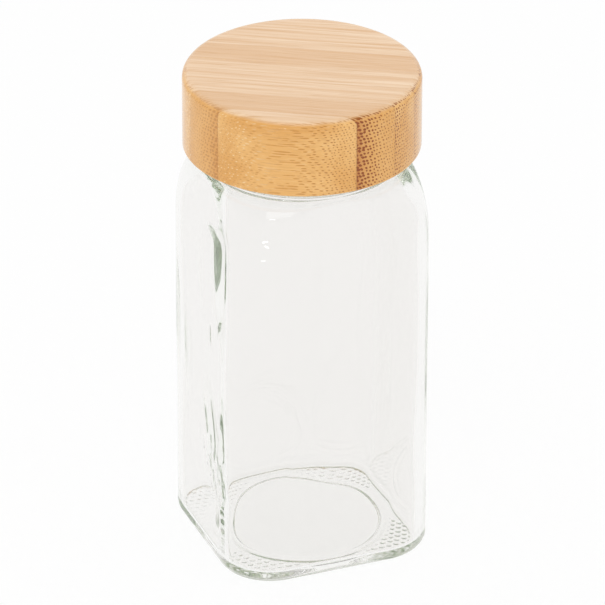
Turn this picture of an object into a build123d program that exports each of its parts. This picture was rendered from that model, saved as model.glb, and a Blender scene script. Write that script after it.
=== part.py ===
from build123d import *
import os
from math import cos, pi, sin

# A square glass spice jar with a screw-on bamboo lid, in millimetres.
# The origin is the middle of the underside, +Z is up, and the jar's flat sides face X and Y.

os.makedirs("parts", exist_ok=True)

# Jar body
jar_width = 46.0
corner_radius = 11.5
heel_radius = 2.6
wall_thickness = 2.4
floor_thickness = 2.0
floor_fillet = 1.2
body_height = 72.5

# Shoulder, where the square body turns into the round neck
shoulder_height = 15.0
shoulder_step = 0.6
shoulder_shares = (0, 0.2, 0.4, 0.58, 0.74, 0.88, 1)
round_share = 0.995

# Neck, with the bead below the screw thread and the rim that seals
neck_radius = 20.2
neck_wall = 2.3
neck_height = 15.3
bead_rise = 2.6
bead_height = 2.2
bead_flat = 0.8
bead_reach = 1.1
rim_round = 0.7

# Hollow under the jar, and the low dome that it raises in the floor inside
push_radius = 16.8
push_depth = 1.2
push_lip = 0.5
dome_radius = 17.2
dome_rise = 1.9

# Sealing disc that lies on the rim, loose in the insert
liner_clearance = 0.4
liner_thickness = 1.0

# Threaded plastic insert, glued into the lid
thread_reach = 1.0
thread_clearance = 0.4
insert_wall = 1.05
insert_plate = 1.0
insert_height = 12.5
insert_chamfer = 0.3
catch_drop = 0.15
catch_height = 0.8
catch_flat = 0.2
catch_reach = 0.7

# Turned bamboo lid
lid_wall = 2.0
lid_top = 3.2
lid_height = 16.7
lid_top_round = 1.75
lid_edge_chamfer = 0.35
glue_gap = 0.1

# Places that follow from these sizes
half_width = jar_width / 2
inner_half = half_width - wall_thickness
inner_corner = corner_radius - wall_thickness
shoulder_top = body_height + shoulder_height
shoulder_radius = neck_radius + shoulder_step
rim_height = shoulder_top + neck_height
mouth_radius = neck_radius - neck_wall
throat_radius = mouth_radius + shoulder_step
bead_middle = shoulder_top + bead_rise
liner_top = rim_height + liner_thickness
insert_top = liner_top + insert_plate
insert_bottom = insert_top - insert_height
insert_bore = neck_radius + thread_reach + thread_clearance
insert_radius = insert_bore + insert_wall
liner_radius = insert_bore - liner_clearance
lid_crown = insert_top + lid_top
lid_bottom = lid_crown - lid_height
lid_bore = insert_radius + glue_gap
lid_radius = lid_bore + lid_wall
catch_top = rim_height - catch_drop


def cap_sphere(radius, rise):
    """Radius of the sphere whose cap has this radius and this rise."""
    return (radius**2 + rise**2) / (2 * rise)


def shoulder_size(share, half, corner, top_radius):
    """Half width, corner radius and height of one section of the shoulder, which falls in
    along a quarter of an ellipse while its corners open into a circle."""
    turn = share * pi / 2
    mix = 1 - cos(turn)
    end_corner = top_radius * round_share
    section_half = half + (top_radius - half) * mix
    section_corner = corner + (end_corner - corner) * mix
    return section_half, section_corner, body_height + shoulder_height * sin(turn)


def shoulder_sections(half, corner, top_radius):
    """The sections of one shoulder for a loft, from the body up to the neck."""
    sections = []
    for share in shoulder_shares:
        section_half, section_corner, height = shoulder_size(share, half, corner, top_radius)
        with BuildSketch(Plane.XY.offset(height)) as section:
            RectangleRounded(2 * section_half, 2 * section_half, section_corner)
        sections.append(section.sketch)
    return sections


# The glass jar: square body, lofted shoulder, round neck with its bead, and the hollow inside
with BuildPart() as jar_glass:
    with BuildSketch(Plane.XY):
        RectangleRounded(jar_width, jar_width, corner_radius)
    extrude(amount=body_height)
    fillet(jar_glass.edges().group_by(Axis.Z)[0], heel_radius)
    loft(shoulder_sections(half_width, corner_radius, shoulder_radius))

    # Neck from below the shoulder's top to the rounded rim
    with BuildSketch(Plane.XZ):
        with BuildLine():
            Polyline(
                (0, body_height),
                (neck_radius, body_height),
                (neck_radius, bead_middle - bead_height / 2),
                (neck_radius + bead_reach, bead_middle - bead_flat / 2),
                (neck_radius + bead_reach, bead_middle + bead_flat / 2),
                (neck_radius, bead_middle + bead_height / 2),
                (neck_radius, rim_height - rim_round),
            )
            RadiusArc(
                (neck_radius, rim_height - rim_round),
                (neck_radius - rim_round, rim_height),
                -rim_round,
            )
            Polyline((neck_radius - rim_round, rim_height), (0, rim_height), (0, body_height))
        make_face()
    revolve(axis=Axis.Z)

    # Hollow of the body, of the shoulder and of the mouth
    with BuildSketch(Plane.XY.offset(floor_thickness)):
        RectangleRounded(2 * inner_half, 2 * inner_half, inner_corner)
    extrude(amount=body_height - floor_thickness, mode=Mode.SUBTRACT)
    floor_edges = jar_glass.edges().filter_by_position(Axis.Z, floor_thickness, floor_thickness)
    fillet(floor_edges, floor_fillet)
    loft(shoulder_sections(inner_half, inner_corner, throat_radius), mode=Mode.SUBTRACT)
    with BuildSketch(Plane.XY.offset(shoulder_top)):
        Circle(mouth_radius)
    extrude(amount=neck_height, mode=Mode.SUBTRACT)
    mouth_edges = jar_glass.edges().filter_by_position(Axis.Z, rim_height, rim_height)
    fillet(mouth_edges.sort_by(SortBy.RADIUS)[0], rim_round)

    # Dome of the floor, then the shallow hollow under it
    with BuildSketch(Plane.XZ):
        with BuildLine():
            Polyline(
                (0, floor_thickness + dome_rise),
                (0, floor_thickness / 2),
                (dome_radius, floor_thickness / 2),
                (dome_radius, floor_thickness),
            )
            RadiusArc(
                (dome_radius, floor_thickness),
                (0, floor_thickness + dome_rise),
                -cap_sphere(dome_radius, dome_rise),
            )
        make_face()
    revolve(axis=Axis.Z)
    with BuildSketch(Plane.XZ):
        with BuildLine():
            Line((0, 0), (push_radius, 0))
            Line((push_radius, 0), (push_radius - push_lip, push_lip))
            RadiusArc(
                (push_radius - push_lip, push_lip),
                (0, push_depth),
                -cap_sphere(push_radius - push_lip, push_depth - push_lip),
            )
            Line((0, push_depth), (0, 0))
        make_face()
    revolve(axis=Axis.Z, mode=Mode.SUBTRACT)

# The sealing disc between the rim and the insert
with BuildPart() as seal_liner:
    with BuildSketch(Plane.XY.offset(rim_height)):
        Circle(liner_radius)
    extrude(amount=liner_thickness)

# The plastic insert: a plate over the disc, a skirt round the neck, and a catch under the disc
with BuildPart() as cap_insert:
    with BuildSketch(Plane.XY.offset(insert_bottom)):
        Circle(insert_radius)
    extrude(amount=insert_height)
    with BuildSketch(Plane.XY.offset(insert_bottom)):
        Circle(insert_bore)
    extrude(amount=insert_height - insert_plate, mode=Mode.SUBTRACT)
    chamfer(cap_insert.edges().group_by(Axis.Z)[0], insert_chamfer)
    with BuildSketch(Plane.XZ):
        with BuildLine():
            Polyline(
                (insert_bore, catch_top),
                (insert_bore + insert_wall / 2, catch_top),
                (insert_bore + insert_wall / 2, catch_top - catch_height),
                (insert_bore, catch_top - catch_height),
                (insert_bore - catch_reach, catch_top - (catch_height + catch_flat) / 2),
                (insert_bore - catch_reach, catch_top - (catch_height - catch_flat) / 2),
                close=True,
            )
        make_face()
    revolve(axis=Axis.Z)

# The turned bamboo lid with its rounded crown
with BuildPart() as lid_shell:
    with BuildSketch(Plane.XY.offset(lid_bottom)):
        Circle(lid_radius)
    extrude(amount=lid_height)
    fillet(lid_shell.edges().group_by(Axis.Z)[-1], lid_top_round)
    with BuildSketch(Plane.XY.offset(lid_bottom)):
        Circle(lid_bore)
    extrude(amount=insert_top - lid_bottom, mode=Mode.SUBTRACT)
    chamfer(lid_shell.edges().group_by(Axis.Z)[0], lid_edge_chamfer)

jar_glass.part.label = "jar_glass"
seal_liner.part.label = "seal_liner"
cap_insert.part.label = "cap_insert"
lid_shell.part.label = "lid_shell"

export_step(jar_glass.part, "parts/jar_glass.step")
export_step(seal_liner.part, "parts/seal_liner.step")
export_step(cap_insert.part, "parts/cap_insert.step")
export_step(lid_shell.part, "parts/lid_shell.step")
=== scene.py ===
from math import cos, pi, radians, sin

import bpy
import numpy as np
from mathutils import Matrix, Vector


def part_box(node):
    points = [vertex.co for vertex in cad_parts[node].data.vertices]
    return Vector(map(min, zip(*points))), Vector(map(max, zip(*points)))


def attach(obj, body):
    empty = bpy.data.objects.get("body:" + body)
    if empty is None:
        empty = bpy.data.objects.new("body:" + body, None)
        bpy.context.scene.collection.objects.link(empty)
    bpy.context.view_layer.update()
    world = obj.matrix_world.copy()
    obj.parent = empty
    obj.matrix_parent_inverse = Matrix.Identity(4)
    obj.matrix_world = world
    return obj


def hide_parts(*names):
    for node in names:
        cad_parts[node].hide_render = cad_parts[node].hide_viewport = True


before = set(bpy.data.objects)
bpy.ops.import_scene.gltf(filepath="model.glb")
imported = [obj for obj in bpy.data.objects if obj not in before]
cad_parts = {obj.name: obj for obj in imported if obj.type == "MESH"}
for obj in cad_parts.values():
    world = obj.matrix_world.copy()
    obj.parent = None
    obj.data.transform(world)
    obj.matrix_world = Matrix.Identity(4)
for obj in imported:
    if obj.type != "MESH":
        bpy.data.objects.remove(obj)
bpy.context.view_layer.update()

# Square glass spice jar with a screw-on bamboo lid.
# The dictionaries hold millimetres and Blender gets metres.

mm = 0.001
quarter = pi / 2         # of a turn


def inMillimetres(node):
    # The CAD node's lowest and highest corner
    low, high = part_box(node)
    return np.array(low) / mm, np.array(high) / mm


jarHigh = inMillimetres("jar_glass")[1]
lidLow, lidHigh = inMillimetres("lid_shell")
insertLow, insertHigh = inMillimetres("cap_insert")
linerLow, linerHigh = inMillimetres("seal_liner")


# Mesh tools

def gridMesh(name, rows, startPole, endPole):
    # rows is a (row, column, 3) grid of points that closes round its columns, and each end
    # closes on a pole
    rowCount, columnCount, _ = rows.shape
    index = np.arange(rowCount * columnCount).reshape(rowCount, columnCount)
    right = np.roll(index, -1, axis=1)
    quads = np.stack([index[:-1], right[:-1], right[1:], index[1:]], axis=-1).reshape(-1, 4)
    first = np.full(columnCount, rowCount * columnCount)
    caps = np.concatenate([
        np.stack([first, right[0], index[0]], axis=-1),
        np.stack([first + 1, index[-1], right[-1]], axis=-1),
    ])
    points = np.concatenate([rows.reshape(-1, 3), [startPole], [endPole]]) * mm
    corners = np.concatenate([quads.ravel(), caps.ravel()]).astype(np.int32)
    sizes = np.concatenate([np.full(len(quads), 4), np.full(len(caps), 3)]).astype(np.int32)
    starts = (np.cumsum(sizes) - sizes).astype(np.int32)
    mesh = bpy.data.meshes.new(name)
    mesh.vertices.add(len(points))
    mesh.vertices.foreach_set("co", points.astype(np.float32).ravel())
    mesh.loops.add(len(corners))
    mesh.loops.foreach_set("vertex_index", corners)
    mesh.polygons.add(len(sizes))
    mesh.polygons.foreach_set("loop_start", starts)
    mesh.polygons.foreach_set("loop_total", sizes)
    mesh.polygons.foreach_set("use_smooth", np.ones(len(sizes), bool))
    mesh.update(calc_edges=True)
    mesh.validate()
    piece = bpy.data.objects.new(name, mesh)
    bpy.context.scene.collection.objects.link(piece)
    print(name + ":", rowCount, "rows of", columnCount, "points")
    return piece


def ring(angle, reach, height):
    # Points at these distances from the axis and at these heights, as one grid
    reach, height, angle = np.broadcast_arrays(reach, height, angle)
    return np.stack([reach * np.cos(angle), reach * np.sin(angle), height], axis=-1)


def steps(low, high, count):
    # Evenly spaced values down a column, without the last, so that stretches join end to end
    return np.linspace(low, high, count + 1)[:-1, None]


def rise(value, low, high):
    # Smooth step from 0 at low to 1 at high
    share = np.clip((value - low) / (high - low), 0, 1)
    return share * share * (3 - 2 * share)


def profile(corners, spacing):
    # A line through corners given as (reach, height, radius): each corner is an arc of its
    # radius, tangent to both sides, and straight stretches are divided by the spacing
    places = np.array([corner[:2] for corner in corners], float)
    line = [places[:1]]
    for k in range(1, len(corners) - 1):
        back = places[k - 1] - places[k]
        ahead = places[k + 1] - places[k]
        back = back / np.linalg.norm(back)
        ahead = ahead / np.linalg.norm(ahead)
        between = np.arccos(np.clip(back @ ahead, -1, 1))
        radius = corners[k][2]
        start = places[k] + back * radius / np.tan(between / 2)
        inwards = (back + ahead) / np.linalg.norm(back + ahead)
        middle = places[k] + inwards * radius / np.sin(between / 2)
        end = places[k] + ahead * radius / np.tan(between / 2)
        count = max(2, int(np.linalg.norm(start - line[-1][-1]) / spacing))
        line.append(np.linspace(line[-1][-1], start, count + 1)[1:])
        turn = pi - between
        share = np.linspace(0, 1, 9)[1:, None]
        arc = np.sin((1 - share) * turn) * (start - middle) + np.sin(share * turn) * (end - middle)
        line.append(middle + arc / np.sin(turn))
    count = max(2, int(np.linalg.norm(places[-1] - line[-1][-1]) / spacing))
    line.append(np.linspace(line[-1][-1], places[-1], count + 1)[1:])
    return np.concatenate(line)


def turned(name, columns, line, ridge=None):
    # A profile from axis to axis, spun round it, with an optional ridge that reaches inwards
    angle = (np.arange(columns) / columns * 2 * pi)[None, :]
    reach, height = line[1:-1, 0][:, None], line[1:-1, 1][:, None]
    if ridge is not None:
        reach = reach - ridge(angle, reach, height)
    return gridMesh(name, ring(angle, reach, height), (0, 0, line[0, 1]), (0, 0, line[-1, 1]))


thread = {
    "pitch": 4.233,          # six turns to the inch, as on a 43 mm closure
    "jarTop": 100.2,         # middle of the jar's ridge where it runs out under the rim
    "jarTurns": 1.25,
    "lidTurns": 1.1,
    "width": 2.0,
    "jarReach": 0.98,
    "lidReach": 1.05,
    "fadeTurns": 0.09,
    "crest": 0.35,           # share of the width that stands at full height
}


def threadRidge(angle, height, bottom, turns, reach):
    # A helix: at each angle its middle stands at bottom plus the pitch times the turns so far,
    # and both of its ends fade into the wall
    ridge = np.zeros(np.broadcast(angle, height).shape)
    turn = np.mod(angle, 2 * pi) / (2 * pi)
    for lap in range(2):
        soFar = turn + lap
        across = np.abs(height - bottom - thread["pitch"] * soFar) / (thread["width"] / 2)
        fade = thread["fadeTurns"]
        ends = rise(soFar, 0, fade) * (1 - rise(soFar, turns - fade, turns))
        ridge = np.maximum(ridge, reach * (1 - rise(across, thread["crest"], 1.0)) * ends)
    return ridge


# The glass jar

jar = {
    "columns": 384,
    "cornerColumns": 0.42,   # how much closer the columns stand at the corners
    "half": jarHigh[0],
    "corner": 11.5,
    "heel": 2.6,
    "wall": 2.4,
    "floor": 2.0,
    "floorFillet": 1.2,
    "bodyTop": 72.5,
    "shoulderTop": 87.5,
    "neck": 20.2,
    "step": 0.6,
    "neckWall": 2.3,
    "beadMiddle": 90.1,
    "beadHeight": 2.2,
    "beadFlat": 0.8,
    "beadReach": 1.1,
    "rim": jarHigh[2],
    "rimRound": 0.7,
    "push": 16.8,
    "pushDepth": 1.2,
    "lip": 0.5,
    "dome": 17.2,
    "domeRise": 1.9,
    "poleGap": 0.4,
    "stipplePitch": 1.75,
    "stippleWidth": 1.3,
    "stippleHeight": 0.17,
    "stippleCorner": 12.0,   # how far the stipple spreads from each diagonal
    "stippleStart": (1.4, 2.2),      # how far from the hollow it comes up
    "stippleWorn": 0.55,     # how much fainter the mould pressed it on the far side
    "wornAcross": (-18.0, 18.0),     # from the near side to the far side
    "pressStart": (0.2, 1.8),
    "pressEnd": 0.9,         # share of the ring where the pressing starts to run out
    "innerWave": 0.2,
    "innerStart": (7.0, 22.0),       # heights between which each unevenness comes and goes
    "innerEnd": (62.0, 80.0),
    "outerWave": 0.03,
    "outerStart": (2.0, 8.0),
    "outerEnd": (60.0, 72.0),
    # where the glass is thicker: place round the axis in degrees, height, how far it spreads
    # round the axis, up and down, its depth, and how it leans in degrees per millimetre
    "swells": (
        (-163.0, 75.0, 16.0, 4.0, 30.0, 1.5, 0.0),
        (-168.0, 53.0, 3.0, 3.5, 4.5, 0.32, 0.0),
        (-176.0, 31.0, 3.5, 4.0, 6.0, 0.34, -1.0),
        (-173.0, 21.0, 3.5, 7.0, 7.0, 0.36, -2.6),
        (-165.0, 20.0, 3.5, 7.0, 7.0, 0.36, -2.0),
        (-156.0, 20.0, 3.0, 6.0, 7.0, 0.32, -1.6),
        (-135.0, 80.0, 40.0, 8.0, 6.0, 0.7, 0.0),
        (-45.0, 82.0, 40.0, 6.0, 5.0, 0.6, 0.0),
        (135.0, 82.0, 40.0, 6.0, 5.0, 0.6, 0.0),
    ),
}


def squareReach(angle, half, corner):
    # Distance from the axis to a rounded square of this half width and corner radius: to the
    # flat side where the ray meets it, and otherwise to the corner's arc
    cosine, sine = np.abs(np.cos(angle)), np.abs(np.sin(angle))
    larger, smaller = np.maximum(cosine, sine), np.minimum(cosine, sine)
    core = half - corner
    along = core * (cosine + sine)
    onArc = along + np.sqrt(np.maximum(along**2 - 2 * core**2 + corner**2, 0))
    return np.where(half * smaller <= core * larger, half / larger, onArc)


def shoulderRows(angle, half, corner, top, share):
    # The square falls in to the round neck along a quarter of an ellipse
    turn = share * pi / 2
    mix = 1 - np.cos(turn)
    height = jar["bodyTop"] + (jar["shoulderTop"] - jar["bodyTop"]) * np.sin(turn)
    return squareReach(angle, half + (top - half) * mix, corner + (top - corner) * mix), height


def stipple(points):
    # Height from 0 to 1 of small domes in staggered rows, a half circle over each cell's middle,
    # only near the corners of the ring that the jar stands on
    x, y = points[..., 0], points[..., 1]
    pitch = jar["stipplePitch"]
    gap = pitch * sin(pi / 3)
    row = np.round(y / gap)
    shift = np.mod(row, 2) * pitch / 2
    dx = x - np.round((x - shift) / pitch) * pitch - shift
    dy = y - row * gap
    away = np.hypot(dx, dy) / (jar["stippleWidth"] / 2)
    fromDiagonal = np.abs(np.abs(x) - np.abs(y))
    near = 1 - rise(fromDiagonal, jar["stippleCorner"] - 1, jar["stippleCorner"])
    start, end = jar["stippleStart"]
    near = near * rise(np.hypot(x, y), jar["push"] + start, jar["push"] + end)
    near = near * (1 - jar["stippleWorn"] * rise(y - 0.4 * x, *jar["wornAcross"]))
    return np.sqrt(np.maximum(1 - away**2, 0)) * near


def innerWave(angle, height):
    # Slow unevenness of the blown inner wall, counted towards the axis: four sine waves round
    # the axis that drift with the height, and the swells, each a smooth hill of its own spread
    wave = np.sin(2 * angle + 0.7 + height / 13) + 0.8 * np.sin(5 * angle - height / 9 + 1.3)
    wave = wave + 0.7 * np.sin(9 * angle + height / 17 + 2.1)
    wave = wave + 0.5 * np.sin(height / 5.5 + 3 * angle)
    window = rise(height, *jar["innerStart"]) * (1 - rise(height, *jar["innerEnd"]))
    wave = jar["innerWave"] * wave / 2 * window
    for middle, level, wide, above, below, depth, lean in jar["swells"]:
        up = height - level
        around = np.abs(np.mod(np.degrees(angle) - middle - lean * up + 180, 360) - 180)
        window = (1 - rise(up, 0, above)) * (1 - rise(-up, 0, below))
        wave = wave + depth * window * (1 - rise(around, 0, wide))
    return wave


def outerWave(angle, height):
    # The pressed outside is nearly true, and its unevenness, the product of a wave round the
    # axis and one up it, stays inside the true surface
    wave = np.sin(3 * angle + height / 7) * np.sin(height / 11 + 1)
    window = rise(height, *jar["outerStart"]) * (1 - rise(height, *jar["outerEnd"]))
    return jar["outerWave"] * (1 + wave) / 2 * window


def capHeight(reach, radius, height):
    # Height on the cap of a sphere that has this radius and this height over its edge
    sphere = (radius**2 + height**2) / (2 * height)
    return height - sphere + np.sqrt(sphere**2 - reach**2)


def jarUnderside(angle):
    # The hollow is the cap of a sphere with a quarter of a circle as its lip, and the ring that
    # the jar stands on is mixed from the lip's circle and the heel's square, with its stipple
    heel, lip, push = jar["heel"], jar["lip"], jar["push"]
    reach = steps(jar["poleGap"], push - lip, 20)
    hollow = capHeight(reach, push - lip, jar["pushDepth"] - lip)
    grids = [ring(angle, reach, lip + hollow)]
    turn = steps(0, quarter, 4)
    grids.append(ring(angle, push - lip * np.cos(turn), lip * (1 - np.sin(turn))))
    share = steps(0, 1, 34)
    square = squareReach(angle, jar["half"] - heel, jar["corner"] - heel)
    standing = ring(angle, push + (square - push) * share, 0)
    away = np.hypot(standing[..., 0], standing[..., 1])
    start, end = jar["pressStart"]
    pressed = rise(away, push + start, push + end) * (1 - rise(share, jar["pressEnd"], 1))
    standing[..., 2] = jar["stippleHeight"] * (1 - stipple(standing)) * pressed
    return grids + [standing]


def jarOutside(angle):
    # The heel is a quarter of a circle round the rounded square, and the wall and the shoulder
    # follow it
    half, corner, heel = jar["half"], jar["corner"], jar["heel"]
    turn = steps(0, quarter, 7)
    out = heel * np.sin(turn) - heel
    height = heel * (1 - np.cos(turn))
    grids = [ring(angle, squareReach(angle, half + out, corner + out), height)]
    height = steps(heel, jar["bodyTop"], 22)
    reach = squareReach(angle, half, corner) - outerWave(angle, height)
    grids.append(ring(angle, reach, height))
    top = jar["neck"] + jar["step"]
    reach, height = shoulderRows(angle, half, corner, top, steps(0, 1, 20))
    return grids + [ring(angle, reach, height)]


def jarNeck(angle):
    # A quarter of a circle as the step, the neck's circle with the bead and the thread on it,
    # whichever reaches further, and a rim of two quarter circles
    neck, step, rimRound = jar["neck"], jar["step"], jar["rimRound"]
    bottom, edge = jar["shoulderTop"], jar["rim"] - rimRound
    turn = steps(0, quarter, 3)
    height = bottom + step * (1 - np.cos(turn))
    grids = [ring(angle, neck + step * (1 - np.sin(turn)), height)]
    height = steps(bottom + step, edge, 52)
    flank = np.abs(height - jar["beadMiddle"])
    bead = jar["beadReach"] * (1 - rise(flank, jar["beadFlat"] / 2, jar["beadHeight"] / 2))
    first = thread["jarTop"] - thread["pitch"] * thread["jarTurns"]
    ridge = threadRidge(angle, height, first, thread["jarTurns"], thread["jarReach"])
    grids.append(ring(angle, neck + np.maximum(bead, ridge), height))
    turn = steps(0, quarter, 5)
    reach = neck - rimRound + rimRound * np.cos(turn)
    grids.append(ring(angle, reach, edge + rimRound * np.sin(turn)))
    reach = neck - jar["neckWall"] + rimRound - rimRound * np.sin(turn)
    return grids + [ring(angle, reach, edge + rimRound * np.cos(turn))]


def jarInside(angle):
    # Down the round mouth, the shoulder and the uneven wall, round the fillet's quarter circle
    # and over the floor, which is flat and then the cap of a sphere
    mouth, step = jar["neck"] - jar["neckWall"], jar["step"]
    half, corner = jar["half"] - jar["wall"], jar["corner"] - jar["wall"]
    height = steps(jar["rim"] - jar["rimRound"], jar["shoulderTop"] + step, 5)
    grids = [ring(angle, mouth, height)]
    turn = steps(0, quarter, 3)
    height = jar["shoulderTop"] + step * np.cos(turn)
    grids.append(ring(angle, mouth + step * np.sin(turn), height))
    reach, height = shoulderRows(angle, half, corner, mouth + step, steps(1, 0, 18))
    grids.append(ring(angle, reach - innerWave(angle, height), height))
    fillet, floor = jar["floorFillet"], jar["floor"]
    height = steps(jar["bodyTop"], floor + fillet, 34)
    reach = squareReach(angle, half, corner) - innerWave(angle, height)
    grids.append(ring(angle, reach, height))
    turn = steps(0, quarter, 9)
    inset = fillet * (1 - np.cos(turn))
    height = floor + fillet * (1 - np.sin(turn))
    reach = squareReach(angle, half - inset, corner - inset)
    grids.append(ring(angle, reach - innerWave(angle, height), height))
    square = squareReach(angle, half - fillet, corner - fillet)
    grids.append(ring(angle, square + (jar["dome"] - square) * steps(0, 1, 5), floor))
    reach = steps(jar["dome"], jar["poleGap"], 12)
    height = floor + capHeight(reach, jar["dome"], jar["domeRise"])
    return grids + [ring(angle, reach, height)]


def makeJar():
    # Rings from the middle of the underside out, up the outside, over the rim and down the
    # inside to the middle of the floor, with columns drawn towards the corners by a sine
    even = np.arange(jar["columns"]) / jar["columns"] * 2 * pi
    angle = (even + jar["cornerColumns"] / 4 * np.sin(4 * even))[None, :]
    grids = jarUnderside(angle) + jarOutside(angle) + jarNeck(angle) + jarInside(angle)
    start = (0, 0, jar["pushDepth"])
    end = (0, 0, jar["floor"] + jar["domeRise"])
    return gridMesh("jar_body", np.concatenate(grids), start, end)


# The lid and what it holds

lid = {
    "columns": 256,
    "spacing": 2.0,
    "radius": lidHigh[0],
    "bore": 22.75,
    "topRound": 1.75,
    "edgeRound": 0.35,
    "sharp": 0.01,           # an edge that is only broken
}


def makeLid():
    # A turned profile: the ceiling of the bore, down the bore, up the outside and over the crown
    radius, bore, edge = lid["radius"], lid["bore"], lid["edgeRound"]
    bottom, top, ceiling = lidLow[2], lidHigh[2], insertHigh[2]
    line = profile([
        (0, ceiling, 0),
        (bore, ceiling, lid["sharp"]),
        (bore, bottom, edge),
        (radius, bottom, edge),
        (radius, top, lid["topRound"]),
        (0, top, 0),
    ], lid["spacing"])
    return turned("lid_bamboo", lid["columns"], line)


insert = {
    "columns": 256,
    "spacing": 0.28,
    "radius": insertHigh[0],
    "bore": 21.6,
    "plate": 1.0,
    "round": 0.3,
    "sharp": 0.01,
    "catchMiddle": 102.25,
    "catchHeight": 0.8,
    "catchReach": 0.7,
    "near": 0.01,            # how close a point lies to the bore that counts as on it
}


def insertRidge(angle, reach, height):
    # The thread of the insert lies half a pitch under the jar's, and the catch over it is half
    # an ellipse across: both on the bore alone
    bottom = thread["jarTop"] - thread["pitch"] * (thread["jarTurns"] + 0.5)
    ridge = threadRidge(angle, height, bottom, thread["lidTurns"], thread["lidReach"])
    across = np.clip(np.abs(height - insert["catchMiddle"]) / (insert["catchHeight"] / 2), 0, 1)
    catch = insert["catchReach"] * np.sqrt(1 - across**2)
    onBore = np.abs(reach - insert["bore"]) < insert["near"]
    return np.where(onBore, np.maximum(ridge, catch), 0)


def makeInsert():
    # A turned profile: the plate's underside, down the bore, up the outside and over the plate
    radius, bore, edge = insert["radius"], insert["bore"], insert["round"]
    bottom, top = insertLow[2], insertHigh[2]
    line = profile([
        (0, top - insert["plate"], 0),
        (bore, top - insert["plate"], insert["sharp"]),
        (bore, bottom, edge),
        (radius, bottom, edge),
        (radius, top, insert["sharp"]),
        (0, top, 0),
    ], insert["spacing"])
    return turned("insert_threaded", insert["columns"], line, insertRidge)


liner = {
    "columns": 192,
    "spacing": 0.5,
    "radius": linerHigh[0],
    "round": 0.2,
    "ringPitch": 2.6,
    "ringDepth": 0.06,
    "near": 0.01,            # how close a point lies to the underside that counts as on it
}


def makeLiner():
    # A turned disc with rounded edges
    radius = liner["radius"]
    line = profile([
        (0, linerLow[2], 0),
        (radius, linerLow[2], liner["round"]),
        (radius, linerHigh[2], liner["round"]),
        (0, linerHigh[2], 0),
    ], liner["spacing"])
    # fine pressed rings, a cosine along the radius, which only ever go into the disc
    under = (line[:, 1] < linerLow[2] + liner["near"]) & (line[:, 0] > 0)
    rings = liner["ringDepth"] * (1 - np.cos(line[:, 0] / liner["ringPitch"] * 2 * pi)) / 2
    line[:, 1] += np.where(under, rings, 0)
    return turned("liner_disc", liner["columns"], line)


# Materials

def linear(hexColour):
    # An sRGB hex colour as the linear values that shaders take
    values = [int(hexColour[k:k + 2], 16) / 255 for k in (1, 3, 5)]
    return [v / 12.92 if v <= 0.04045 else ((v + 0.055) / 1.055) ** 2.4 for v in values] + [1]


def addNode(tree, kind, inputs=None, **settings):
    # Adds a node: settings are its own properties, inputs are values or sockets by name or place
    new = tree.nodes.new(kind)
    for name, value in settings.items():
        setattr(new, name, value)
    for name, value in (inputs or {}).items():
        if isinstance(value, bpy.types.NodeSocket):
            tree.links.new(value, new.inputs[name])
        else:
            new.inputs[name].default_value = value
    return new


def newMaterial(name):
    # An empty material and its tree
    material = bpy.data.materials.new(name)
    material.use_nodes = True
    material.node_tree.nodes.clear()
    return material, material.node_tree


def finishMaterial(tree, surface, volume=None):
    # Joins the shaders to the output
    output = addNode(tree, "ShaderNodeOutputMaterial", {"Surface": surface})
    if volume is not None:
        tree.links.new(volume, output.inputs["Volume"])


glassLook = {
    "colour": "#F9F8F7",
    "ior": 1.5,
    "roughness": 0.0,
    "absorption": "#EEF2EB",  # iron in soda-lime glass: long paths turn grey green
    "density": 15.0,
    "orangePeel": 9.0,        # millimetres across the unevenness of fire polishing
    "peelDepth": 0.2,
    "peelStrength": 0.04,
    "shade": "#FBFCFB",       # what a lamp's light keeps of its colour on its way through
    "reflections": 250,       # how often a ray may be thrown back inside the glass
}


def sodaLimeGlass():
    # Clear soda-lime glass, pressed and blown in a mould and fire polished: colourless through a
    # wall, grey green where the eye looks along it, with a faint unevenness in its reflections
    look = glassLook
    material, tree = newMaterial("soda_lime_glass_fire_polished")
    place = addNode(tree, "ShaderNodeTexCoord").outputs["Object"]
    peel = addNode(tree, "ShaderNodeTexNoise", {
        "Vector": place, "Scale": 1 / (look["orangePeel"] * mm), "Detail": 1.0})
    bump = addNode(tree, "ShaderNodeBump", {
        "Strength": look["peelStrength"], "Distance": look["peelDepth"] * mm,
        "Height": peel.outputs["Fac"]})
    glass = addNode(tree, "ShaderNodeBsdfPrincipled", {
        "Base Color": linear(look["colour"]),
        "Roughness": look["roughness"],
        "IOR": look["ior"],
        "Transmission Weight": 1.0,
        "Normal": bump.outputs["Normal"],
    })
    # rays from lamps go straight through, so that the shadow is as pale as under real glass
    lets = addNode(tree, "ShaderNodeBsdfTransparent", {"Color": linear(look["shade"])})
    path = addNode(tree, "ShaderNodeLightPath")
    passes = addNode(tree, "ShaderNodeMath", {
        0: path.outputs["Is Shadow Ray"], 1: path.outputs["Is Diffuse Ray"]}, operation="MAXIMUM")
    surface = addNode(tree, "ShaderNodeMixShader", {
        0: passes.outputs[0], 1: glass.outputs[0], 2: lets.outputs[0]})
    volume = addNode(tree, "ShaderNodeVolumeAbsorption", {
        "Color": linear(look["absorption"]), "Density": look["density"]})
    finishMaterial(tree, surface.outputs[0], volume.outputs[0])
    return material


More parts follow.
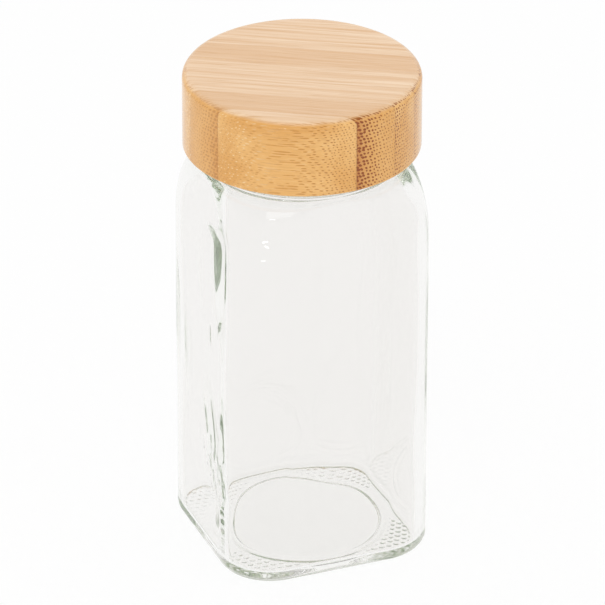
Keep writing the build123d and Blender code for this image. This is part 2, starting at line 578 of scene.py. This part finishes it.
bambooLook = {
    "grainTurn": -30.0,       # degrees from the jar's X to the direction of the fibres
    "stripStart": -20.2,      # glue line of the first strip, across the grain
    "stripWidth": 7.35,
    "stripTones": (0.05, 0.65),      # how far most strips, and every third one, go to the deep tone
    "otherStrips": 0.45,      # how crowded the bundles of the other strips are beside the first's
    "crowdFall": 2.2,         # how fast they thin out across a strip
    "ripe": (-16.0, 12.0),    # along the grain, where the bundles turn from pale to dark
    "leastRipe": 0.35,
    "bundleWide": 0.59,       # spacing of the fibre bundles across the grain and up
    "bundleHigh": 0.82,
    "bundleLean": 0.31,       # how far each row is shifted against the one under it, in spacings
    "bundleScatter": 0.38,
    "bundleFiner": 1.35,      # how much closer they stand in the front strip
    "thin": 0.2,              # radius of a bundle at a strip's inner and outer side, in spacings
    "thick": 0.45,
    "edge": (-0.05, 0.06),    # how soft the bundle's edge is
    "breakLevels": (0.3, 0.6),       # levels of the noise that breaks bundles into dashes
    "breakSizes": (0.55, 1.1),       # what the noise makes of the radius there
    "endGrain": (0.1, 0.55),  # how far the surface faces along the grain, from side to end grain
    "topFrom": (0.5, 0.97),   # how far it faces up, from the turned side to the flat top
    "hiddenFrom": (0.75, 0.97),      # how far it faces up where the bundles are hidden
    "onTop": 0.2,             # how much of them still shows on the flat top
    "faintest": (0.4, 0.75),  # crowding where bundles show in full, and how much they show at least
    "wander": (0.15, 0.25, 0.3),     # patterns along the grain, across it and up, per millimetre
    "breaks": (0.8, 2.0, 2.0),
    "fineStreaks": (0.07, 3.0, 3.0),
    "middleStreaks": (0.022, 1.0, 1.0),
    "broadStreaks": (0.012, 0.28, 0.1),
    "middleLevels": (0.3, 0.74),     # levels of a noise that stand for the pale and the deep tone
    "broadLevels": (0.35, 0.65),
    "darkStreaks": (0.5, 0.68, 0.55),        # levels of the fine streaks, and their strength
    "paleStreaks": (0.28, 0.46, 0.25),
    "flesh": "#EDBA73",       # ground tissue between the bundles, on the turned side
    "fleshDeep": "#DFA457",
    "skin": "#BF7833",        # tissue next to the culm's skin, where the bundles crowd
    "skinFall": 3.0,
    "longGrainAndLitTop": "#F6DABA",        # long grain of the top; it and the deep tone under it are paler than the side's, partly as painted light from above
    "longGrainAndLitTopDeep": "#E0B486",
    "fleck": "#F8E0B8",       # pale streaks
    "streak": "#C99557",      # dark streaks
    "speck": "#F1CB94",       # pale ends of thin bundles
    "speckChance": (0.6, 0.65),
    "speckFrom": (0.0, -8.0),        # along the grain
    "gold": "#BC7C2C",        # bundles cut along their length
    "fibre": "#8E4608",       # bundles cut across
    "glue": "#8F5F33",
    "glueLine": 0.3,          # how strong the line between two strips is
    "glueWidth": (0.006, 0.025),     # in strips
    "relief": 0.05,           # millimetres from the streaks down to the pores
    "reliefStrength": 0.2,
    "pores": 0.7,             # how deep the pores are beside the streaks
    "roughness": (0.36, 0.52),
    "specular": 0.0,          # the wood takes up the lacquer, so that only the lacquer shines
    "coat": 1.0,
    "coatRoughness": 0.14,
    "ior": 1.5,
}


def bambooFacing(tree, normal):
    # Ramps over how far the surface faces along the grain, either way, and up: 1 on the end
    # grain, 1 on the flat top, and how much of the bundles shows
    look = bambooLook
    turn = radians(look["grainTurn"])
    facing = addNode(tree, "ShaderNodeVectorMath", {0: normal, 1: (cos(turn), sin(turn), 0)},
                     operation="DOT_PRODUCT").outputs["Value"]
    facing = addNode(tree, "ShaderNodeMath", {0: facing}, operation="ABSOLUTE").outputs[0]
    low, high = look["endGrain"]
    endGrain = addNode(tree, "ShaderNodeMapRange", {0: facing, 1: low, 2: high},
                       interpolation_type="SMOOTHSTEP").outputs[0]
    faceUp = addNode(tree, "ShaderNodeSeparateXYZ", {0: normal}).outputs[2]
    low, high = look["topFrom"]
    top = addNode(tree, "ShaderNodeMapRange", {0: faceUp, 1: low, 2: high},
                  interpolation_type="SMOOTHSTEP").outputs[0]
    low, high = look["hiddenFrom"]
    shown = addNode(tree, "ShaderNodeMapRange", {
        0: faceUp, 1: low, 2: high, 3: 1.0, 4: look["onTop"]}).outputs[0]
    return endGrain, top, shown


def bambooStrips(tree, along, across):
    # The glued strips: the distance across the grain over a strip's width, whose whole part is
    # the strip's number, 0 for the first one after the front strip
    look = bambooLook
    strip = addNode(tree, "ShaderNodeMath", {0: across, 1: look["stripStart"]},
                    operation="SUBTRACT").outputs[0]
    strip = addNode(tree, "ShaderNodeMath", {0: strip, 1: look["stripWidth"]},
                    operation="DIVIDE").outputs[0]
    number = addNode(tree, "ShaderNodeMath", {0: strip}, operation="FLOOR").outputs[0]
    near = addNode(tree, "ShaderNodeMath", {0: strip}, operation="FRACT").outputs[0]
    far = addNode(tree, "ShaderNodeMath", {0: 1.0, 1: near}, operation="SUBTRACT").outputs[0]
    seam = addNode(tree, "ShaderNodeMath", {0: near, 1: far}, operation="MINIMUM").outputs[0]

    # every third strip has a deeper tone
    third = addNode(tree, "ShaderNodeMath", {0: number, 1: 1 / 3}, operation="MULTIPLY").outputs[0]
    third = addNode(tree, "ShaderNodeMath", {0: third}, operation="FRACT").outputs[0]
    most, every = look["stripTones"]
    tone = addNode(tree, "ShaderNodeMapRange", {
        0: third, 1: 0.1, 2: 0.3, 3: every, 4: most}).outputs[0]

    # strip 0 was cut next to the culm's skin, so its bundles are the darkest and most crowded,
    # and in each strip they crowd towards one side and ripen towards one end
    nextToSkin = addNode(tree, "ShaderNodeMath", {0: number, 1: 0.0, 2: 0.5},
                         operation="COMPARE").outputs[0]
    share = addNode(tree, "ShaderNodeMapRange", {
        0: nextToSkin, 3: look["otherStrips"], 4: 1.0}).outputs[0]
    crowd = addNode(tree, "ShaderNodeMath", {0: far, 1: look["crowdFall"]},
                    operation="POWER").outputs[0]
    crowd = addNode(tree, "ShaderNodeMath", {0: crowd, 1: share}, operation="MULTIPLY").outputs[0]
    low, high = look["ripe"]
    ripe = addNode(tree, "ShaderNodeMapRange", {
        0: along, 1: low, 2: high, 3: look["leastRipe"], 4: 1.0},
        interpolation_type="SMOOTHSTEP").outputs[0]
    return {"number": number, "seam": seam, "tone": tone, "nextToSkin": nextToSkin,
            "crowd": crowd, "ripe": ripe}


def bambooBundles(tree, place, across, up, strips):
    # Fibre bundles: across the grain, circles round the scattered points of a leaning lattice,
    # which wander a little along it
    look = bambooLook
    slow = addNode(tree, "ShaderNodeVectorMath", {0: place, 1: look["wander"]},
                   operation="MULTIPLY").outputs[0]
    wander = addNode(tree, "ShaderNodeTexNoise", {
        "Vector": slow, "Scale": 1.0, "Detail": 1.0}).outputs["Fac"]
    shifted = addNode(tree, "ShaderNodeMath", {0: wander, 1: 1.0, 2: across},
                      operation="MULTIPLY_ADD").outputs[0]
    cellX = addNode(tree, "ShaderNodeMath", {0: shifted, 1: look["bundleWide"]},
                    operation="DIVIDE").outputs[0]
    cellY = addNode(tree, "ShaderNodeMath", {0: up, 1: look["bundleHigh"]},
                    operation="DIVIDE").outputs[0]
    cellX = addNode(tree, "ShaderNodeMath", {0: cellY, 1: look["bundleLean"], 2: cellX},
                    operation="MULTIPLY_ADD").outputs[0]
    cells = addNode(tree, "ShaderNodeCombineXYZ", {0: cellX, 1: cellY}).outputs[0]
    front = addNode(tree, "ShaderNodeMath", {0: strips["number"], 1: -1.0, 2: 0.5},
                    operation="COMPARE").outputs[0]
    finer = addNode(tree, "ShaderNodeMapRange", {
        0: front, 3: 1.0, 4: look["bundleFiner"]}).outputs[0]
    bundle = addNode(tree, "ShaderNodeTexVoronoi", {
        "Vector": cells, "Scale": finer, "Randomness": look["bundleScatter"]},
        voronoi_dimensions="2D", feature="F1")
    chance = addNode(tree, "ShaderNodeSeparateXYZ", {0: bundle.outputs["Color"]}).outputs[0]

    # each bundle's radius swells and shrinks along its length, which breaks it into dashes
    short = addNode(tree, "ShaderNodeVectorMath", {0: place, 1: look["breaks"]},
                    operation="MULTIPLY").outputs[0]
    breaks = addNode(tree, "ShaderNodeTexNoise", {
        "Vector": short, "Scale": 1.0, "Detail": 1.0}).outputs["Fac"]
    low, high = look["breakLevels"]
    least, most = look["breakSizes"]
    broken = addNode(tree, "ShaderNodeMapRange", {
        0: breaks, 1: low, 2: high, 3: least, 4: most}).outputs[0]
    size = addNode(tree, "ShaderNodeMapRange", {
        0: strips["crowd"], 1: 0.0, 2: 1.0, 3: look["thin"], 4: look["thick"]}).outputs[0]
    size = addNode(tree, "ShaderNodeMath", {0: size, 1: broken}, operation="MULTIPLY").outputs[0]
    inside = addNode(tree, "ShaderNodeMath", {0: size, 1: bundle.outputs["Distance"]},
                     operation="SUBTRACT").outputs[0]
    low, high = look["edge"]
    dot = addNode(tree, "ShaderNodeMapRange", {0: inside, 1: low, 2: high},
                  interpolation_type="SMOOTHSTEP").outputs[0]
    return {"shifted": shifted, "dot": dot, "chance": chance}


def bambooStreaks(tree, place, drawn):
    # Three noises drawn out along the grain: fine streaks, middling ones and broad ones
    look = bambooLook
    streaks = []
    for source, kind, detail, roughness in (
            (drawn, "fineStreaks", 5.0, 0.68),
            (place, "middleStreaks", 2.0, 0.5),
            (place, "broadStreaks", 1.0, 0.5)):
        stretched = addNode(tree, "ShaderNodeVectorMath", {0: source, 1: look[kind]},
                            operation="MULTIPLY").outputs[0]
        noise = addNode(tree, "ShaderNodeTexNoise", {
            "Vector": stretched, "Scale": 1.0, "Detail": detail, "Roughness": roughness})
        streaks.append(noise.outputs["Fac"])
    return streaks


def bambooTissue(tree, top, strips, fine, middle, broad):
    # Ground tissue of the side and of the top, each mixed from a pale and a deep tone by its
    # streaks, and then mixed with the deep tone by the strip's own. The top's tones are paler,
    # partly for its long grain and partly as painted light from above
    look = bambooLook
    low, high = look["broadLevels"]
    deep = addNode(tree, "ShaderNodeMapRange", {0: broad, 1: low, 2: high}).outputs[0]
    side = addNode(tree, "ShaderNodeMix", {
        0: deep, 6: linear(look["flesh"]), 7: linear(look["fleshDeep"])},
        data_type="RGBA").outputs[2]
    low, high = look["middleLevels"]
    deep = addNode(tree, "ShaderNodeMapRange", {0: middle, 1: low, 2: high}).outputs[0]
    litLongGrainTop = addNode(tree, "ShaderNodeMix", {
        0: deep, 6: linear(look["longGrainAndLitTop"]), 7: linear(look["longGrainAndLitTopDeep"])},
        data_type="RGBA").outputs[2]
    # the flat top takes the paler tones: its long grain, and painted light from above that lightens
    # it
    ground = addNode(tree, "ShaderNodeMix", {0: top, 6: side, 7: litLongGrainTop},
                     data_type="RGBA").outputs[2]
    # the deep tone is paler on the top too, with the same painted light from above
    deepest = addNode(tree, "ShaderNodeMix", {
        0: top, 6: linear(look["fleshDeep"]), 7: linear(look["longGrainAndLitTopDeep"])},
        data_type="RGBA").outputs[2]
    ground = addNode(tree, "ShaderNodeMix", {0: strips["tone"], 6: ground, 7: deepest},
                     data_type="RGBA").outputs[2]

    # it is darkest where the bundles crowd, on the turned side alone
    turnedSide = addNode(tree, "ShaderNodeMath", {0: 1.0, 1: top}, operation="SUBTRACT").outputs[0]
    skin = addNode(tree, "ShaderNodeMath", {0: strips["crowd"], 1: look["skinFall"]},
                   operation="POWER").outputs[0]
    for part in (strips["ripe"], turnedSide):
        skin = addNode(tree, "ShaderNodeMath", {0: skin, 1: part}, operation="MULTIPLY").outputs[0]
    ground = addNode(tree, "ShaderNodeMix", {0: skin, 6: ground, 7: linear(look["skin"])},
                     data_type="RGBA").outputs[2]

    # dark and pale streaks over it
    low, high, most = look["darkStreaks"]
    dark = addNode(tree, "ShaderNodeMapRange", {
        0: fine, 1: low, 2: high, 3: 0.0, 4: most}).outputs[0]
    ground = addNode(tree, "ShaderNodeMix", {0: dark, 6: ground, 7: linear(look["streak"])},
                     data_type="RGBA").outputs[2]
    low, high, most = look["paleStreaks"]
    pale = addNode(tree, "ShaderNodeMapRange", {
        0: fine, 1: low, 2: high, 3: most, 4: 0.0}).outputs[0]
    return addNode(tree, "ShaderNodeMix", {0: pale, 6: ground, 7: linear(look["fleck"])},
                   data_type="RGBA").outputs[2]


def bambooColour(tree, along, facing, strips, bundles, tissue):
    # The bundles and the glue lines, each mixed over the tissue by its own strength: bundles are
    # dark on the end grain, gold along the side and faint on the top
    look = bambooLook
    endGrain, shown = facing
    cut = addNode(tree, "ShaderNodeMix", {
        0: endGrain, 6: linear(look["gold"]), 7: linear(look["fibre"])},
        data_type="RGBA").outputs[2]
    full, least = look["faintest"]
    dark = addNode(tree, "ShaderNodeMapRange", {
        0: strips["crowd"], 1: 0.0, 2: full, 3: least, 4: 1.0}).outputs[0]
    for part in (strips["ripe"], shown, bundles["dot"]):
        dark = addNode(tree, "ShaderNodeMath", {0: dark, 1: part}, operation="MULTIPLY").outputs[0]
    colour = addNode(tree, "ShaderNodeMix", {0: dark, 6: tissue, 7: cut},
                     data_type="RGBA").outputs[2]

    # towards the other end some thin bundles are paler than the tissue round them
    low, high = look["speckChance"]
    pale = addNode(tree, "ShaderNodeMapRange", {
        0: bundles["chance"], 1: low, 2: high}).outputs[0]
    start, end = look["speckFrom"]
    otherEnd = addNode(tree, "ShaderNodeMapRange", {0: along, 1: start, 2: end}).outputs[0]
    inner = addNode(tree, "ShaderNodeMath", {0: 1.0, 1: strips["nextToSkin"]},
                    operation="SUBTRACT").outputs[0]
    for part in (otherEnd, inner, bundles["dot"]):
        pale = addNode(tree, "ShaderNodeMath", {0: pale, 1: part}, operation="MULTIPLY").outputs[0]
    colour = addNode(tree, "ShaderNodeMix", {0: pale, 6: colour, 7: linear(look["speck"])},
                     data_type="RGBA").outputs[2]

    # glue line between two strips
    low, high = look["glueWidth"]
    line = addNode(tree, "ShaderNodeMapRange", {
        0: strips["seam"], 1: low, 2: high, 3: look["glueLine"], 4: 0.0}).outputs[0]
    for part in (shown, strips["ripe"]):
        line = addNode(tree, "ShaderNodeMath", {0: line, 1: part}, operation="MULTIPLY").outputs[0]
    return addNode(tree, "ShaderNodeMix", {0: line, 6: colour, 7: linear(look["glue"])},
                   data_type="RGBA").outputs[2]


def laminatedBamboo():
    # Vertical-grain laminated bamboo, turned and satin lacquered: dark fibre bundles are dots on
    # the end grain, short gold dashes where the side runs with them, and fine streaks over the top
    look = bambooLook
    material, tree = newMaterial("laminated_bamboo_lacquered")
    texture = addNode(tree, "ShaderNodeTexCoord")

    # millimetres along the grain, across it and up
    place = addNode(tree, "ShaderNodeMapping", {
        "Vector": texture.outputs["Object"],
        "Rotation": (0, 0, radians(-look["grainTurn"])),
        "Scale": (1 / mm, 1 / mm, 1 / mm),
    }).outputs[0]
    axes = addNode(tree, "ShaderNodeSeparateXYZ", {0: place})
    along, across, up = axes.outputs[0], axes.outputs[1], axes.outputs[2]

    endGrain, top, shown = bambooFacing(tree, texture.outputs["Normal"])
    strips = bambooStrips(tree, along, across)
    bundles = bambooBundles(tree, place, across, up, strips)
    # the fine streaks wander with the bundles
    drawn = addNode(tree, "ShaderNodeCombineXYZ", {
        0: along, 1: bundles["shifted"], 2: up}).outputs[0]
    fine, middle, broad = bambooStreaks(tree, place, drawn)
    tissue = bambooTissue(tree, top, strips, fine, middle, broad)
    colour = bambooColour(tree, along, (endGrain, shown), strips, bundles, tissue)

    # pores are a little lower than the tissue, and the lacquer lies over both
    relief = addNode(tree, "ShaderNodeMath", {0: bundles["dot"], 1: -look["pores"], 2: fine},
                     operation="MULTIPLY_ADD").outputs[0]
    bump = addNode(tree, "ShaderNodeBump", {
        "Strength": look["reliefStrength"], "Distance": look["relief"] * mm, "Height": relief})
    smoothest, roughest = look["roughness"]
    rough = addNode(tree, "ShaderNodeMapRange", {
        0: fine, 1: 0.2, 2: 0.8, 3: smoothest, 4: roughest}).outputs[0]
    wood = addNode(tree, "ShaderNodeBsdfPrincipled", {
        "Base Color": colour,
        "Roughness": rough,
        "IOR": look["ior"],
        "Specular IOR Level": look["specular"],
        "Coat Weight": look["coat"],
        "Coat Roughness": look["coatRoughness"],
        "Normal": bump.outputs["Normal"],
    })
    finishMaterial(tree, wood.outputs[0])
    return material


insertLook = {
    "colour": "#F6F4EE",
    "clouded": "#EEEBE3",
    "grain": 0.5,            # millimetres across the satin grain of the mould
    "grainDepth": 0.03,
    "grainStrength": 0.15,
    "cloud": 9.0,
    "roughness": (0.32, 0.46),
    "ior": 1.49,
    "under": 0.15,           # share of the light that passes just under the surface
    "reach": 1.5,            # millimetres that it gets
    "reachTint": (1.0, 1.0, 0.9),
}


def mouldedPolypropylene():
    # Natural polypropylene, injection moulded: milky white, satin, with light passing just under it
    look = insertLook
    material, tree = newMaterial("polypropylene_moulded_satin")
    place = addNode(tree, "ShaderNodeTexCoord").outputs["Object"]
    grain = addNode(tree, "ShaderNodeTexNoise", {
        "Vector": place, "Scale": 1 / (look["grain"] * mm), "Detail": 3.0}).outputs["Fac"]
    cloud = addNode(tree, "ShaderNodeTexNoise", {
        "Vector": place, "Scale": 1 / (look["cloud"] * mm), "Detail": 2.0}).outputs["Fac"]
    bump = addNode(tree, "ShaderNodeBump", {
        "Strength": look["grainStrength"], "Distance": look["grainDepth"] * mm,
        "Height": grain})
    colour = addNode(tree, "ShaderNodeMix", {
        0: cloud, 6: linear(look["colour"]), 7: linear(look["clouded"])},
        data_type="RGBA").outputs[2]
    rough = addNode(tree, "ShaderNodeMapRange", {
        0: grain, 1: 0.2, 2: 0.8, 3: look["roughness"][0], 4: look["roughness"][1]}).outputs[0]
    plastic = addNode(tree, "ShaderNodeBsdfPrincipled", {
        "Base Color": colour,
        "Roughness": rough,
        "IOR": look["ior"],
        "Subsurface Weight": look["under"],
        "Subsurface Radius": look["reachTint"],
        "Subsurface Scale": look["reach"] * mm,
        "Normal": bump.outputs["Normal"],
    })
    finishMaterial(tree, plastic.outputs[0])
    return material


linerLook = {
    "colour": "#FAF9F6",
    # painted shade: the cells' pits are a little darker than the foam round them
    "pitShade": "#F4F3EF",
    "cell": 0.45,            # millimetres across a cell of the foam
    "cellDepth": 0.05,
    "cellStrength": 0.5,
    "roughness": 0.7,
    "ior": 1.5,
}


def foamedPolyethylene():
    # Closed-cell polyethylene foam, pressed into a disc: matt and faintly pitted by its cells,
    # with painted shade that makes the pits a little darker
    look = linerLook
    material, tree = newMaterial("polyethylene_foam_pressed")
    place = addNode(tree, "ShaderNodeTexCoord").outputs["Object"]
    cell = addNode(tree, "ShaderNodeTexVoronoi", {
        "Vector": place, "Scale": 1 / (look["cell"] * mm)}, feature="F1").outputs["Distance"]
    bump = addNode(tree, "ShaderNodeBump", {
        "Strength": look["cellStrength"], "Distance": look["cellDepth"] * mm,
        "Height": cell})
    # painted shade: the colour is darker towards each cell's middle, where the bump dips into a pit
    colour = addNode(tree, "ShaderNodeMix", {
        0: cell, 6: linear(look["pitShade"]), 7: linear(look["colour"])},
        data_type="RGBA").outputs[2]
    foam = addNode(tree, "ShaderNodeBsdfPrincipled", {
        "Base Color": colour,
        "Roughness": look["roughness"],
        "IOR": look["ior"],
        "Normal": bump.outputs["Normal"],
    })
    finishMaterial(tree, foam.outputs[0])
    return material


# The pieces, each on its body

def dress(piece, material, body, node):
    # Gives a piece its material and its body, and hides the CAD node that it stands for
    piece.data.materials.append(material)
    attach(piece, body)
    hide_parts(node)


print("making the glass jar")
dress(makeJar(), sodaLimeGlass(), "jar", "jar_glass")
print("making the lid")
dress(makeLid(), laminatedBamboo(), "lid", "lid_shell")
dress(makeInsert(), mouldedPolypropylene(), "lid", "cap_insert")
dress(makeLiner(), foamedPolyethylene(), "seal", "seal_liner")


# Floor, light and camera

studio = {
    "floorReach": 3000.0,
    "floorGlow": 0.85,       # share of the floor that is plain white to the eye
    "paper": 0.95,
    "ambient": 0.93,
    "dimmer": (0.35, 0.9),   # how high up the room starts to get dimmer, and where it is dimmest
    "zenith": 0.55,
    "key": 2.2,
    "keySize": (700.0, 700.0),
    "keyPlace": (-420.0, -560.0, 1300.0),
    "strip": 0.4,            # a small strip light that only leaves a glint on the shoulder
    "stripSize": (180.0, 40.0),
    "stripPlace": (-770.0, -920.0, 190.0),
    "diffuseBounces": 16,
    "throughBounces": 64,
}


def seenDirectly(tree):
    # 1 for rays that the camera, a reflection or a refraction sends out
    path = addNode(tree, "ShaderNodeLightPath")
    seen = path.outputs["Is Camera Ray"]
    for kind in ("Is Glossy Ray", "Is Transmission Ray"):
        seen = addNode(tree, "ShaderNodeMath", {0: seen, 1: path.outputs[kind]},
                       operation="MAXIMUM").outputs[0]
    return seen


def makeFloor():
    # One square of paper, white to the eye, which keeps a little of the jar's shadow
    reach = studio["floorReach"] * mm
    corners = [(-reach, -reach, 0), (reach, -reach, 0), (reach, reach, 0), (-reach, reach, 0)]
    mesh = bpy.data.meshes.new("floor")
    mesh.from_pydata(corners, [], [(0, 1, 2, 3)])
    floor = bpy.data.objects.new("floor", mesh)
    bpy.context.scene.collection.objects.link(floor)
    material, tree = newMaterial("paper_sweep")
    paper = (studio["paper"], studio["paper"], studio["paper"], 1)
    white = addNode(tree, "ShaderNodeBsdfDiffuse", {"Color": paper})
    glow = addNode(tree, "ShaderNodeEmission", {"Color": (1, 1, 1, 1), "Strength": 1.0})
    share = addNode(tree, "ShaderNodeMath", {0: seenDirectly(tree), 1: studio["floorGlow"]},
                    operation="MULTIPLY")
    surface = addNode(tree, "ShaderNodeMixShader", {
        0: share.outputs[0], 1: white.outputs[0], 2: glow.outputs[0]})
    finishMaterial(tree, surface.outputs[0])
    mesh.materials.append(material)


def addLamp(name, size, energy, place):
    # A rectangular lamp that looks at the middle of the jar
    lamp = bpy.data.lights.new(name, "AREA")
    lamp.shape = "RECTANGLE"
    lamp.size, lamp.size_y = size[0] * mm, size[1] * mm
    lamp.energy = energy
    box = bpy.data.objects.new(name, lamp)
    box.location = Vector(place) * mm
    aim = Vector((0, 0, jarHigh[2] / 2)) * mm - box.location
    box.rotation_euler = aim.to_track_quat("-Z", "Y").to_euler()
    bpy.context.scene.collection.objects.link(box)


def makeLight():
    # A white room that is dimmer high up, a soft box and a strip light
    world = bpy.data.worlds.new("studio")
    bpy.context.scene.world = world
    world.use_nodes = True
    tree = world.node_tree
    tree.nodes.clear()
    direction = addNode(tree, "ShaderNodeTexCoord").outputs["Generated"]
    high = addNode(tree, "ShaderNodeSeparateXYZ", {0: direction}).outputs[2]
    # the sweep is white low down, and the room above it is dimmer
    low, dimmest = studio["dimmer"]
    fall = addNode(tree, "ShaderNodeMapRange", {
        0: high, 1: low, 2: dimmest, 3: 1.0, 4: studio["zenith"]},
        interpolation_type="SMOOTHSTEP").outputs[0]
    level = addNode(tree, "ShaderNodeMix", {
        0: seenDirectly(tree), 2: studio["ambient"], 3: fall}, data_type="FLOAT").outputs[0]
    sky = addNode(tree, "ShaderNodeBackground", {"Color": (1, 1, 1, 1), "Strength": level})
    addNode(tree, "ShaderNodeOutputWorld", {"Surface": sky.outputs[0]})

    addLamp("softbox", studio["keySize"], studio["key"], studio["keyPlace"])
    addLamp("strip_light", studio["stripSize"], studio["strip"], studio["stripPlace"])


# fitted to the photograph's outlines
camera = {
    "distance": 1378.1,      # from the point on the axis that it turns round
    "height": 59.4,
    "elevation": 28.487,
    "pitch": 28.709,
    "azimuth": -21.451,
    "turn": -0.0086,
    "roll": 0.126,
    "lens": 392.3,
    "sensor": 36,
    "farthest": 20000.0,
}


def makeCamera():
    # It stands on a sphere round a point on the jar's axis, and heads, tips and rolls from there
    around, up = radians(camera["azimuth"]), radians(camera["elevation"])
    flat = camera["distance"] * cos(up) * mm
    high = (camera["distance"] * sin(up) + camera["height"]) * mm
    place = (flat * sin(around), -flat * cos(around), high)
    data = bpy.data.cameras.new("camera")
    data.lens = camera["lens"]
    data.sensor_width = camera["sensor"]
    data.clip_end = camera["farthest"] * mm
    eye = bpy.data.objects.new("camera", data)
    heading = Matrix.Rotation(around + radians(camera["turn"]), 4, "Z")
    tip = Matrix.Rotation(pi / 2 - radians(camera["pitch"]), 4, "X")
    roll = Matrix.Rotation(radians(camera["roll"]), 4, "Z")
    eye.matrix_world = Matrix.Translation(place) @ (heading @ tip) @ roll
    bpy.context.scene.collection.objects.link(eye)
    bpy.context.scene.camera = eye


print("setting floor, light and camera")
cycles = bpy.context.scene.cycles
cycles.max_bounces = 2 * glassLook["reflections"]
cycles.glossy_bounces = glassLook["reflections"]
cycles.transmission_bounces = glassLook["reflections"]
cycles.diffuse_bounces = studio["diffuseBounces"]
cycles.transparent_max_bounces = studio["throughBounces"]
makeFloor()
makeLight()
makeCamera()
bpy.context.scene.view_settings.view_transform = "Standard"
